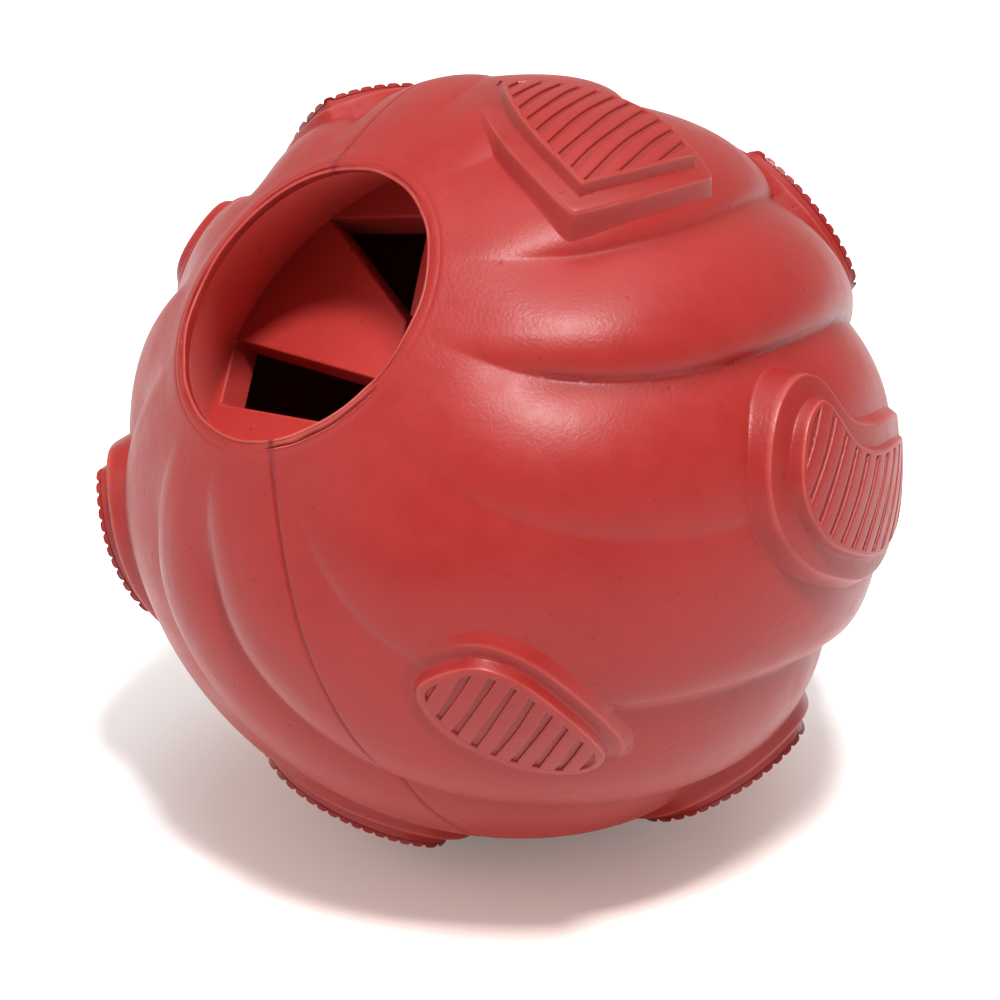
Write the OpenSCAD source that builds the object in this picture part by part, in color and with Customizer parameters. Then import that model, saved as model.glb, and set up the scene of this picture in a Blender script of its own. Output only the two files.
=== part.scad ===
// Treat dispensing ball of thick natural rubber, in millimetres.
// The ball stands at rest on its foot tread, with the floor at z = 0.
// Every piece is drawn about the ball's own axis, which runs out through the mouth along +z,
// with the moulding seam in the plane y = 0, and is then turned into the resting position.

/* [Ball] */
// Diameter over the crests of the lobes
crest_d = 96.1; // [90:0.1:104]
// Number of swirled lobes round the ball
lobe_count = 12; // [10:2:14]
// Depth of the creases between the lobes
crease_depth = 2.6; // [1:0.1:3.5]
// How full the lobes are: lower is rounder, with sharper creases
lobe_fullness = 0.75; // [0.6:0.05:1.2]
// How a lobe leans: at 1 its two sides are alike, and lower values make its first side steeper
lobe_skew = 0.65; // [0.5:0.05:1]
// Angle through which a lobe swirls from the mouth to the far end
swirl_angle = 60; // [40:5:90]
// Azimuth of the first crease at the mouth
first_crease = 70; // [0:5:90]
// Thickness of the rubber under the crests
wall_t = 10.6; // [9:0.1:12]

/* [Mouth] */
// Bore of the mouth that the treats go through
mouth_d = 35.3; // [30:0.1:38]
// How far the ball is flattened at the mouth
mouth_sink = 2.2; // [1:0.1:3.5]
// Width of the raised lip round the mouth
lip_w = 0.8; // [0.6:0.1:1.5]
// Height of the lip above the rubber round it
lip_proud = 0.5; // [0.2:0.1:1]
// Depth of the lip's bore
lip_depth = 3; // [2:0.1:4]

/* [Divider] */
// Height of the divider's top face above the ball's centre, as a share of the crest diameter
divider_height_share = 0.2455; // [0.22:0.0005:0.25]
// Thickness of the divider
divider_t = 4.7; // [3:0.1:6]
// How deep the divider's edge is seated in the shells
seat_depth = 1.2; // [0.8:0.1:2]
// Width of the throat where it meets the divider, as a share of the divider's
throat_share = 0.866; // [0.8:0.001:0.9]

/* [Treads] */
// Length of a drop shaped tread, as a share of the crest diameter
drop_length_share = 0.291; // [0.25:0.001:0.31]
// Width of a drop shaped tread, as a share of the crest diameter
drop_width_share = 0.187; // [0.16:0.001:0.2]
// Length of a kidney shaped tread, as a share of the crest diameter
kidney_length_share = 0.395; // [0.34:0.001:0.405]
// Width of a kidney shaped tread, as a share of the crest diameter
kidney_width_share = 0.281; // [0.24:0.001:0.29]
// Length of a leaf shaped tread, as a share of the crest diameter
leaf_length_share = 0.333; // [0.28:0.001:0.34]
// Width of a leaf shaped tread, as a share of the crest diameter
leaf_width_share = 0.25; // [0.21:0.001:0.26]
// How far a middling tread stands above the crests, as a share of the crest diameter
proud_share = 0.0219; // [0.017:0.0005:0.03]
// Height of the ribbed tier, as a share of how far a middling tread stands above the crests
step_share = 0.76; // [0.5:0.01:0.85]
// Width of the shoulder round the ribbed tier of a drop, as a share of its width
drop_shoulder_share = 0.095; // [0.06:0.005:0.12]
// Width of the shoulder round the ribbed tier of a kidney, as a share of its width
kidney_shoulder_share = 0.095; // [0.06:0.005:0.12]
// Width of the shoulder round the ribbed tier of a leaf, as a share of its width
leaf_shoulder_share = 0.07; // [0.06:0.005:0.12]
// Distance from one groove to the next on a drop
drop_pitch = 2.65; // [2:0.05:3.2]
// Distance from one groove to the next on a kidney
kidney_pitch = 2.9; // [2:0.05:3.2]
// Distance from one groove to the next on a leaf
leaf_pitch = 2.3; // [2:0.05:3.2]
// Width of a groove
groove_w = 0.7; // [0.5:0.1:1]
// Depth of a groove, as a share of the ribbed tier's height
groove_share = 0.5; // [0.3:0.05:0.6]

/* [Rest] */
// Tilt of the mouth from straight up
mouth_tilt = 46.8; // [46:0.1:48]
// Heading of the mouth, counted from +X towards +Y
mouth_heading = -140.4; // [-180:0.1:180]
// Turn of the ball about its own axis
ball_turn = 27.5; // [27:0.1:28]
// How far the foot tread is pressed flat by the ball's weight
foot_press = 1.2; // [0.9:0.1:1.5]

/* [Hidden] */
$fn = 64;
rubber = [0.78, 0.22, 0.20];
inner_rubber = [0.66, 0.15, 0.14];

// Overrun of a cut past the face that it opens
over = crest_d / 10;
crest_r = crest_d / 2;
cavity_r = crest_r - wall_t;
mouth_r = mouth_d / 2;
lip_r = mouth_r + lip_w;
// The lip stands in a flat ring of rubber, as wide as the lip
ring_r = lip_r + lip_w;
ring_polar = asin(ring_r / (crest_r - mouth_sink));
mouth_z = (crest_r - mouth_sink) * cos(ring_polar);
lip_low_z = mouth_z + lip_proud - lip_depth;
lip_top_z = mouth_z + lip_proud;
divider_height = divider_height_share * crest_d;
divider_low_z = divider_height - divider_t;
// The divider reaches a little past the wall of the treat chamber all round
divider_d = 2 * (sqrt(cavity_r * cavity_r - divider_low_z * divider_low_z) + seat_depth);
throat_d = throat_share * divider_d;
tread_proud = proud_share * crest_d;
step_h = step_share * tread_proud;
groove_depth = groove_share * step_h;
// Height of the ball's centre above the floor, where the foot tread is pressed flat
rest_height = crest_r + tread_proud - foot_press;

// Angles down from the mouth: the swirl's start and end, where the lobes have risen, where they
// start to fade, and where the flattening round the mouth ends
swirl_start = 28;
swirl_end = 138;
lobe_risen = 48;
lobe_fading = 156;
sink_end = 56;
// The creases differ near the mouth, up to the first of these angles, and less past the second
near_polar = 70;
far_polar = 110;

// Depth of each crease in turn, near the mouth and far from it, as shares of the full depth
crease_near_shares = [1, 0.9, 0.7, 0.3, 0.8, 1, 1, 0.8, 0.6, 0.8, 0.35, 0.3];
crease_far_shares = [1, 1, 1, 1, 1, 1, 1, 1, 1, 1, 1, 0.7];
// How far each crease lies round the ball from its even place, as shares of a lobe's width
crease_shift_shares = [0, -0.07, 0.1, 0, 0, 0, 0, 0, 0, -0.23, -0.13, 0.03];

// The skin of the ball is a grid: its columns swirl with the lobes, so a crease lies on a column
columns = lobe_count * 8;
rows = 34;

// Eased step from 0 to 1
function ease(x) = let (t = min(1, max(0, x))) t * t * (3 - 2 * t);
function swirl(polar) = swirl_angle * ease((polar - swirl_start) / (swirl_end - swirl_start));
// A crease's value in a list, and the value between two creases, by the number of lobes from the first
function listed(shares, crease) = shares[(crease % lobe_count + lobe_count) % lobe_count % len(shares)];
function between(shares, lobes) =
  let (crease = floor(lobes), t = lobes - crease) listed(shares, crease) * (1 - t) + listed(shares, crease + 1) * t;
// Depth of the skin below the crests, at a number of lobes round from the first crease
function relief(polar, lobes) =
  let (arch = pow(abs(sin(180 * pow(lobes - floor(lobes), lobe_skew))), lobe_fullness))
  let (far = ease((polar - near_polar) / (far_polar - near_polar)))
  crease_depth * (1 - arch) * (between(crease_near_shares, lobes) * (1 - far) + between(crease_far_shares, lobes) * far)
  * ease((polar - ring_polar) / (lobe_risen - ring_polar)) * ease((180 - polar) / (180 - lobe_fading));
function sink(polar) = mouth_sink * (1 - ease((polar - ring_polar) / (sink_end - ring_polar)));
function row_polar(i) = ring_polar + (180 - ring_polar) * i / rows;
function skin_point(i, j) =
  let (polar = row_polar(i), lobes = j * lobe_count / columns)
  let (azimuth = first_crease + swirl(polar) + 360 * (lobes + between(crease_shift_shares, lobes)) / lobe_count)
  let (r = crest_r - sink(polar) - relief(polar, lobes))
  [r * sin(polar) * cos(azimuth), r * sin(polar) * sin(azimuth), r * cos(polar)];

// Solid within the whole skin, closed by a flat face at the mouth
module skin_solid() {
  pole = rows * columns;
  points = [for (i = [0:rows - 1]) for (j = [0:columns - 1]) skin_point(i, j), skin_point(rows, 0)];
  bands = [
    for (i = [0:rows - 2]) for (j = [0:columns - 1])
      let (a = i * columns + j, b = i * columns + (j + 1) % columns, c = b + columns, d = a + columns)
      each [[a, b, c], [a, c, d]]
  ];
  pole_fan = [for (j = [0:columns - 1]) let (a = pole - columns) [a + j, a + (j + 1) % columns, pole]];
  mouth_face = [for (j = [0:columns - 1]) columns - 1 - j];
  polyhedron(points, concat(bands, pole_fan, [mouth_face]), convexity = 4);
}

// Solid from the ball's centre out to the part of the skin within an angle of a place
module skin_wedge(polar, azimuth, spread) {
  row_step = (180 - ring_polar) / rows;
  first_row = max(0, floor((polar - spread - ring_polar) / row_step));
  last_row = min(rows - 1, ceil((polar + spread - ring_polar) / row_step));
  side = asin(sin(spread) / sin(polar));
  // A shifted crease takes its columns along
  slack = ceil(max([for (share = crease_shift_shares) abs(share)]) * columns / lobe_count);
  first_column = floor((azimuth - side - first_crease - swirl(row_polar(last_row))) * columns / 360) - slack;
  last_column = ceil((azimuth + side - first_crease - swirl(row_polar(first_row))) * columns / 360) + slack;
  across = last_column - first_column + 1;
  down = last_row - first_row + 1;
  centre = across * down;
  points = [
    for (i = [first_row:last_row]) for (j = [first_column:last_column]) skin_point(i, j),
    [0, 0, 0]
  ];
  skin = [
    for (i = [0:down - 2]) for (j = [0:across - 2])
      let (a = i * across + j, b = a + 1, c = b + across, d = a + across)
      each [[a, b, c], [a, c, d]]
  ];
  ends = [
    for (j = [0:across - 2]) let (a = j, b = centre - across + j) each [[a + 1, a, centre], [b, b + 1, centre]]
  ];
  sides = [
    for (i = [0:down - 2]) let (a = i * across, b = a + across - 1)
      each [[a, a + across, centre], [b + across, b, centre]]
  ];
  polyhedron(points, concat(skin, ends, sides), convexity = 4);
}

// Space inside the ball: lip seat, throat, divider seat and treat chamber
module hollow() {
  translate([0, 0, lip_low_z]) cylinder(r = lip_r, h = over);
  translate([0, 0, divider_height]) cylinder(r1 = throat_d / 2, r2 = mouth_r, h = lip_low_z - divider_height);
  translate([0, 0, divider_low_z]) cylinder(r = divider_d / 2, h = divider_t);
  intersection() {
    sphere(r = cavity_r);
    translate([-crest_r, -crest_r, -crest_r]) cube([crest_d, crest_d, crest_r + divider_low_z]);
  }
}

// Turns the ball's own frame into the resting position
module at_rest() {
  translate([0, 0, rest_height])
    rotate([0, 0, mouth_heading]) rotate([0, mouth_tilt, 0]) rotate([0, 0, ball_turn]) children();
}

// Half of the ball, on the side of the seam where y has this sign
module shell(sign) {
  difference() {
    skin_solid();
    translate([-crest_d, sign > 0 ? -crest_d : 0, -crest_d]) cube([2 * crest_d, crest_d, 2 * crest_d]);
    hollow();
  }
}

module left_shell() {
  color(rubber) at_rest() shell(-1);
}

module right_shell() {
  color(rubber) at_rest() shell(1);
}

// Width of the lip's top, as a share of the lip's width
crown_share = 0.4;

module mouth_lip() {
  color(rubber) at_rest() rotate_extrude()
    polygon([
      [mouth_r, lip_low_z],
      [lip_r, lip_low_z],
      [lip_r, mouth_z],
      [mouth_r + crown_share * lip_w, lip_top_z],
      [mouth_r, lip_top_z]
    ]);
}

// Corners of the divider's slots, as shares of its radius, on the -y side of the seam.
// The long slot runs from near the wall to the seam, and the wedge slot widens towards it.
long_slot_shares = [[-0.258, -0.83], [0.017, -0.83], [0.236, 0], [0.045, 0]];
wedge_slot_shares = [[-0.724, -0.488], [-0.209, 0], [-0.645, 0]];

module slot(shares) {
  translate([0, 0, divider_low_z - over])
    linear_extrude(divider_t + 2 * over) polygon(shares * divider_d / 2);
}

// Half of the slotted divider, on the -y side of the seam
module divider() {
  difference() {
    translate([0, 0, divider_low_z]) cylinder(r = divider_d / 2, h = divider_t);
    translate([-divider_d, 0, divider_low_z - over]) cube([2 * divider_d, divider_d, divider_t + 2 * over]);
    slot(long_slot_shares);
    slot(wedge_slot_shares);
  }
}

module left_divider() {
  color(inner_rubber) at_rest() divider();
}

module right_divider() {
  color(inner_rubber) at_rest() rotate([0, 0, 180]) divider();
}

// Outlines of the three tread patterns, as shares of a tread's length and width.
// The curve runs through the middle of each line between two points. A third value of 1 marks
// a point that is a corner of the curve. In each, x leads away from the mouth before any turn.
drop_shares = [
  [-0.43, -0.30, 0], [-0.28, -0.46, 0], [-0.05, -0.47, 0], [0.16, -0.38, 0], [0.37, -0.18, 0], [0.54, 0.06, 0],
  [0.52, 0.44, 0], [0.25, 0.52, 0], [-0.02, 0.51, 0], [-0.24, 0.44, 0], [-0.42, 0.22, 0]
];
kidney_shares = [
  [-0.42, -0.33, 0], [-0.29, -0.50, 0], [-0.10, -0.55, 0], [0.11, -0.48, 0], [0.31, -0.37, 0], [0.48, -0.16, 0],
  [0.58, 0.10, 0], [0.58, 0.36, 0], [0.47, 0.53, 0], [0.32, 0.45, 0], [0.16, 0.32, 0], [0.01, 0.18, 0],
  [-0.12, 0.13, 0], [-0.22, 0.18, 0], [-0.31, 0.22, 0], [-0.41, 0.16, 0], [-0.47, -0.05, 0]
];
leaf_shares = [
  [-0.38, -0.465, 1], [0.05, -0.435, 0], [0.49, -0.32, 1], [0.50, -0.02, 0], [0.36, 0.25, 0], [0.13, 0.48, 0],
  [-0.20, 0.60, 1], [-0.34, 0.38, 0], [-0.44, 0.14, 0], [-0.465, -0.09, 0], [-0.43, -0.32, 0]
];

curve_steps = 4;
function flat(p) = [p.x, p.y];
// The closed curve of an outline, as points
function curve(knots) = [
  for (i = [0:len(knots) - 1])
    let (n = len(knots), k = flat(knots[i]), a = (flat(knots[(i + n - 1) % n]) + k) / 2)
    let (b = (k + flat(knots[(i + 1) % n])) / 2)
    each (knots[i].z > 0 ? [a, k] : [
      for (s = [0:curve_steps - 1]) let (t = s / curve_steps)
        (1 - t) * (1 - t) * a + 2 * t * (1 - t) * k + t * t * b
    ])
];
// The points of an outline moved so that its lines lie inwards by a distance
function inward(from, to) = [from.y - to.y, to.x - from.x] / norm(flat(to) - flat(from));
function inset(knots, distance) = [
  for (i = [0:len(knots) - 1])
    let (n = len(knots), k = knots[i])
    let (before = inward(knots[(i + n - 1) % n], k), after = inward(k, knots[(i + 1) % n]))
    let (moved = flat(k) + distance * (before + after) / (1 + before * after))
    [moved.x, moved.y, k.z]
];
// A pattern at its own size
function pattern(shares, along, across) = [for (p = shares) [p.x * along, p.y * across, p.z]];
drop = pattern(drop_shares, drop_length_share * crest_d, drop_width_share * crest_d);
kidney = pattern(kidney_shares, kidney_length_share * crest_d, kidney_width_share * crest_d);
leaf = pattern(leaf_shares, leaf_width_share * crest_d, leaf_length_share * crest_d);

// A tread's place: polar angle from the mouth, azimuth, turn about its own middle, shares of its
// pattern's size along and across, height above the crests as a share of a middling tread's, the
// lean of its top as shares of the ball's radius, what its shoulder adds to the lean and to the
// height, and the angle of its grooves
level = [0, 0, 0];
upper_front_place = [51, 132, 0, [1, 1], 1, [0.023, -0.108], level, 36];
right_place = [95.5, 85, 1.3, [1, 1], 1.28, [-0.055, -0.04], [0.03, 0.025, 0.19], 87.5];
front_place = [73, 23, 0, [1, 1], 0.8, [-0.06, 0.18], level, 121];
left_place = [71.9, -71.7, 145, [1, 1.45], 1.4, [0.04, 0], level, 0];
lower_left_place = [105.4, -29, 225, [0.8, 0.9], 0.75, [0, -0.04], level, 90];
lower_right_place = [139, 30, 253, [0.72, 0.8], 1.3, [0, -0.04], level, 90];
upper_right_place = [107.3, 140, 134.7, [0.95, 1], 0.85, [0, 0.04], level, 90];
top_rear_place = [68, -152.7, -43, [1, 1], 1.2, [0, 0], level, 60];
upper_left_place = [65, -123, -2.5, [0.9, 1], 1, [0, 0], level, 0];
foot_place = [138, -38, -80, [1, 1.05], 1, [0, 0], level, 90];
lower_rear_place = [123, -98, 140, [0.84, 0.85], 0.83, [0, 0], level, 95];
rear_place = [129, -162, 60, [1, 1], 0.83, [0, 0], level, 85];
right_rear_place = [152, 116, 30, [1, 1], 0.83, [0, 0], level, 100];

// One tier of a tread, drawn about its own middle, out to a domed top
module tier(outline, top_r, lean) {
  intersection() {
    translate([0, 0, cavity_r]) linear_extrude(crest_r) polygon(curve(outline));
    translate(lean) sphere(r = top_r, $fn = 240);
  }
}

// Bars that fill the grooves of a tread
module groove_bars(reach, pitch, angle) {
  count = floor(reach / pitch);
  rotate([0, 0, angle]) for (k = [-count:count])
    translate([-reach, (k - 0.5) * pitch - groove_w / 2, 0]) cube([2 * reach, groove_w, 2 * crest_r]);
}

// A tread of two tiers, the upper one grooved, seated on the skin of the ball
module tread(place, full_size, shoulder_share, pitch) {
  outline = pattern(full_size, place[3].x, place[3].y);
  reach = max([for (p = outline) norm(flat(p))]);
  breadth = max([for (p = outline) p.y]) - min([for (p = outline) p.y]);
  top_r = crest_r + tread_proud * place[4];
  lean = crest_r * [place[5].x, place[5].y, 0];
  shoulder_lean = lean + crest_r * [place[6].x, place[6].y, 0];
  shoulder_r = top_r - step_h + tread_proud * place[6].z;
  color(rubber) difference() {
    at_rest() difference() {
      rotate([0, 0, place[1]]) rotate([0, place[0], 0]) rotate([0, 0, place[2]]) {
        tier(outline, shoulder_r, shoulder_lean);
        difference() {
          tier(inset(outline, shoulder_share * breadth), top_r, lean);
          difference() {
            groove_bars(reach, pitch, place[7]);
            translate(lean) sphere(r = top_r - groove_depth, $fn = 240);
          }
        }
      }
      skin_wedge(place[0], place[1], atan(reach / cavity_r));
    }
    translate([-crest_d, -crest_d, -crest_d]) cube([2 * crest_d, 2 * crest_d, crest_d]);
  }
}

module drop_tread(place) {
  tread(place, drop, drop_shoulder_share, drop_pitch);
}

module kidney_tread(place) {
  tread(place, kidney, kidney_shoulder_share, kidney_pitch);
}

module leaf_tread(place) {
  tread(place, leaf, leaf_shoulder_share, leaf_pitch);
}

module upper_front_tread() { leaf_tread(upper_front_place); }
module right_tread() { kidney_tread(right_place); }
module front_tread() { drop_tread(front_place); }
module left_tread() { drop_tread(left_place); }
module lower_left_tread() { kidney_tread(lower_left_place); }
module lower_right_tread() { kidney_tread(lower_right_place); }
module upper_right_tread() { drop_tread(upper_right_place); }
module top_rear_tread() { leaf_tread(top_rear_place); }
module upper_left_tread() { drop_tread(upper_left_place); }
module foot_tread() { drop_tread(foot_place); }
module lower_rear_tread() { kidney_tread(lower_rear_place); }
module rear_tread() { leaf_tread(rear_place); }
module right_rear_tread() { drop_tread(right_rear_place); }

left_shell();
right_shell();
mouth_lip();
left_divider();
right_divider();
upper_front_tread();
right_tread();
front_tread();
left_tread();
lower_left_tread();
lower_right_tread();
upper_right_tread();
top_rear_tread();
upper_left_tread();
foot_tread();
lower_rear_tread();
rear_tread();
right_rear_tread();
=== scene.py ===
"""Dresses the treat dispensing ball: moulded rubber halves, ribbed treads, mouth lip and slotted divider.

Shapes are worked out in millimetres in the ball's own frame, with +z out through the mouth and the
moulding seam in the plane y = 0, and are then turned into the resting position, in metres.
"""

from __future__ import annotations

import logging
from dataclasses import dataclass, field
from enum import Enum
from math import cos, pi, radians, sin

import bmesh
import bpy
import numpy as np
from mathutils import Matrix, Vector


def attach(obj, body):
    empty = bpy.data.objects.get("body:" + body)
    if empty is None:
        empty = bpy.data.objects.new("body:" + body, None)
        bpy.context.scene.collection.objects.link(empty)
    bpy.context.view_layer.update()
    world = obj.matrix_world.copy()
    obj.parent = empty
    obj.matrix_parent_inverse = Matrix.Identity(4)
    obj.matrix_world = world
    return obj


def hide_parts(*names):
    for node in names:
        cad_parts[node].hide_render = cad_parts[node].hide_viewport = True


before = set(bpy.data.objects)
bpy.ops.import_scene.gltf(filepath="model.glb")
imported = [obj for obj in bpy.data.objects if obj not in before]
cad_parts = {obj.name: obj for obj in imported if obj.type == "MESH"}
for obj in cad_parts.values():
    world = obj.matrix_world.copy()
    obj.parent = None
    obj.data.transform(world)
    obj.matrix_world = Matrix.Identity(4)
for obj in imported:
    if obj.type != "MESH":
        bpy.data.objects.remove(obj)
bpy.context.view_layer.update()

Array = np.ndarray
Colour = tuple[float, float, float, float]
log = logging.getLogger("treat_ball")

MM = 0.001
SEED = 11


def eased(x: Array, start: float, end: float) -> Array:
    """Eased step: 0 up to the start, 1 from the end on, and 3t^2 - 2t^3 of the way between them.

    Args:
        x: Numbers.
        start: Where the step starts.
        end: Where it ends, on either side of the start.

    Returns:
        The step's height at each number.
    """
    t = np.clip((x - start) / (end - start), 0.0, 1.0)
    return t * t * (3.0 - 2.0 * t)


def ramp(x: Array, blend: float) -> Array:
    """Straight slope from 0 at 0 to 1 at 1, level outside, with both corners rounded.

    Args:
        x: Where on the slope, as numbers.
        blend: Size of the rounding, as a share of the slope's length.

    Returns:
        The slope's height at each number.
    """
    return 0.5 * (np.sqrt(x * x + blend * blend) - np.sqrt((x - 1.0) ** 2 + blend * blend) + 1.0)


def bell(x: Array, centre: Array | float, width: float) -> Array:
    """Bell curve: 1 at the centre, and e to the minus square of the distance over the width elsewhere.

    Args:
        x: Where on the curve, as numbers.
        centre: Where the curve is highest.
        width: Distance at which it has fallen to 0.37.

    Returns:
        The curve's height at each number.
    """
    return np.exp(-(((x - centre) / width) ** 2))


def soft_max(a: Array, b: Array | float, blend: float) -> Array:
    """Larger of two values, rounded over a band: the mean plus half the root of the squared difference.

    Args:
        a: First values.
        b: Second values.
        blend: Width of the rounding, in the values' own unit.

    Returns:
        A value that is never below either of the two.
    """
    return 0.5 * (a + b + np.sqrt((a - b) ** 2 + blend * blend))


def around(radius: Array | float, angle: Array, height: Array | float) -> Array:
    """Points about the z axis: radius times cosine, radius times sine, and height.

    Args:
        radius: Distances from the axis, one or a column of them.
        angle: Angles about the axis, in radians.
        height: Heights, one or a column of them.

    Returns:
        One point for each angle in each row.
    """
    return np.stack([radius * np.cos(angle), radius * np.sin(angle), height * np.ones_like(angle)], -1)


def turned(axis: str, degrees: float) -> Array:
    """Rotation matrix about one axis.

    Args:
        axis: "x", "y" or "z".
        degrees: Angle of the turn.

    Returns:
        A 3 by 3 matrix.
    """
    return np.array(Matrix.Rotation(radians(degrees), 3, axis.upper()))


@dataclass(frozen=True)
class Ripples:
    """Slow, seeded unevenness of hand-trimmed, moulded rubber, as a sum of sine waves."""

    height: float
    wave_count: int
    frequency: float
    seed: int
    gain: float = 2.0

    def over(self, directions: Array) -> Array:
        """Height of the unevenness: the mean of sines of the dot products with seeded wave vectors.

        Args:
            directions: Unit vectors or other points, with three columns.

        Returns:
            One height for each row, about as large as the full height where the waves agree.
        """
        rng = np.random.default_rng(self.seed)
        waves = rng.normal(0.0, self.frequency, (3, self.wave_count))
        phases = rng.uniform(0.0, 2.0 * pi, self.wave_count)
        return self.height * np.sin(directions @ waves + phases).mean(axis=-1) * self.gain


@dataclass(frozen=True)
class BallForm:
    """Sizes and formulas of the ball, the same ones that the CAD source has. Lengths in millimetres."""

    crest_r: float = 48.05
    lobe_count: int = 12
    spare_creases: int = 2
    crease_depth: float = 2.6
    lobe_fullness: float = 0.75
    crease_round: float = 0.10
    early_round: float = 0.4
    lobe_skew: float = 0.65
    swirl_angle: float = 60.0
    swirl_start: float = 28.0
    swirl_end: float = 138.0
    near_polar: float = 70.0
    far_polar: float = 110.0
    crease_near_shares: tuple[float, ...] = (1.0, 0.9, 0.7, 0.3, 0.8, 1.0, 1.0, 0.8, 0.6, 0.8, 0.35, 0.3)
    crease_far_shares: tuple[float, ...] = (1.0,) * 11 + (0.7,)
    crease_shift_shares: tuple[float, ...] = (0.0, -0.07, 0.1) + (0.0,) * 6 + (-0.23, -0.13, 0.03)
    first_crease: float = 70.0
    lobe_risen: float = 48.0
    lobe_fading: float = 156.0
    sink_end: float = 56.0
    wall_t: float = 10.6
    mouth_r: float = 17.65
    mouth_sink: float = 2.2
    lip_w: float = 0.8
    lip_proud: float = 0.5
    divider_height: float = 23.593
    divider_t: float = 4.7
    divider_r: float = 33.54
    throat_r: float = 29.04
    tread_proud: float = 2.105
    foot_press: float = 1.2
    mouth_tilt: float = 46.8
    mouth_heading: float = -140.4
    ball_turn: float = 27.5
    seam_w: float = 0.45
    seam_depth: float = 0.16
    calm_band: float = 4.0
    unevenness: Ripples = Ripples(0.08, 9, 7.0, SEED)

    @property
    def cavity_r(self) -> float:
        """Radius of the treat chamber."""
        return self.crest_r - self.wall_t

    @property
    def ring_r(self) -> float:
        """Outer radius of the flat ring of rubber that the lip stands in."""
        return self.mouth_r + 2.0 * self.lip_w

    @property
    def ring_polar(self) -> float:
        """Angle down from the mouth's axis to the edge of the flat ring, in degrees."""
        return float(np.degrees(np.arcsin(self.ring_r / (self.crest_r - self.mouth_sink))))

    @property
    def mouth_z(self) -> float:
        """Height of the flat ring above the ball's centre."""
        return (self.crest_r - self.mouth_sink) * cos(radians(self.ring_polar))

    @property
    def rest_height(self) -> float:
        """Height of the ball's centre above the floor."""
        return self.crest_r + self.tread_proud - self.foot_press

    @property
    def turn(self) -> Array:
        """Rotation from the ball's own frame to the row frame."""
        return turned("z", self.mouth_heading) @ turned("y", self.mouth_tilt) @ turned("z", self.ball_turn)

    def to_row(self, points: Array) -> Array:
        """Points of the ball's frame, in millimetres, as metres in the row frame."""
        return (points @ self.turn.T + [0.0, 0.0, self.rest_height]) * MM

    def _crease_share(self, shares: tuple[float, ...], crease: Array, t: Array) -> Array:
        """Depth share between a crease and the next one, in a straight line from one to the other."""
        listed = np.array(shares)
        return listed[crease % self.lobe_count] * (1.0 - t) + listed[(crease + 1) % self.lobe_count] * t

    def lobes(self, polar: Array, azimuth: Array) -> Array:
        """Depth below the crests: one skewed, rounded arch a lobe, swirled, and level at both poles.

        Each crease has its own depth near the mouth and far from it, and its own shift round the ball.

        Args:
            polar: Angles down from the mouth's axis, in degrees.
            azimuth: Angles about that axis, in degrees.

        Returns:
            Depths in millimetres.
        """
        swirl = self.swirl_angle * eased(polar, self.swirl_start, self.swirl_end)
        numbers = np.arange(-self.spare_creases, self.lobe_count + self.spare_creases)
        shifts = np.array(self.crease_shift_shares)[numbers % self.lobe_count]
        turn = (azimuth - self.first_crease - swirl) % 360.0
        lobe = np.interp(turn, (numbers + shifts) * 360.0 / self.lobe_count, numbers)
        crease = np.floor(lobe).astype(int)
        t = lobe - crease
        rise = eased(polar, self.ring_polar, self.lobe_risen)
        rounding = self.crease_round + self.early_round * (1.0 - rise)
        arch = np.sqrt(np.sin(pi * t**self.lobe_skew) ** 2 + rounding**2) ** self.lobe_fullness
        far = eased(polar, self.near_polar, self.far_polar)
        depth = (1.0 - far) * self._crease_share(self.crease_near_shares, crease, t)
        depth = depth + far * self._crease_share(self.crease_far_shares, crease, t)
        fade = eased(polar, 180.0, self.lobe_fading)
        return self.crease_depth * depth * np.clip(1.0 - arch, 0.0, 1.0) * rise * fade

    def skin_radius(self, points: Array) -> Array:
        """Radius of the skin towards each point: the crests' less the sink at the mouth, lobes and seam.

        Args:
            points: Points in the ball's frame, three columns.

        Returns:
            Radii in millimetres.
        """
        length = np.linalg.norm(points, axis=-1)
        unit = points / length[..., None]
        polar = np.degrees(np.arccos(np.clip(unit[..., 2], -1.0, 1.0)))
        azimuth = np.degrees(np.arctan2(unit[..., 1], unit[..., 0]))
        sink = self.mouth_sink * (1.0 - eased(polar, self.ring_polar, self.sink_end))
        seam = self.seam_depth * (1.0 - eased(np.abs(unit[..., 1]) * self.crest_r, 0.0, self.seam_w))
        away = eased(polar, self.ring_polar, self.ring_polar + self.calm_band)
        uneven = self.unevenness.height - self.unevenness.over(unit)
        return self.crest_r - sink - self.lobes(polar, azimuth) - (seam + uneven) * away


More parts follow.
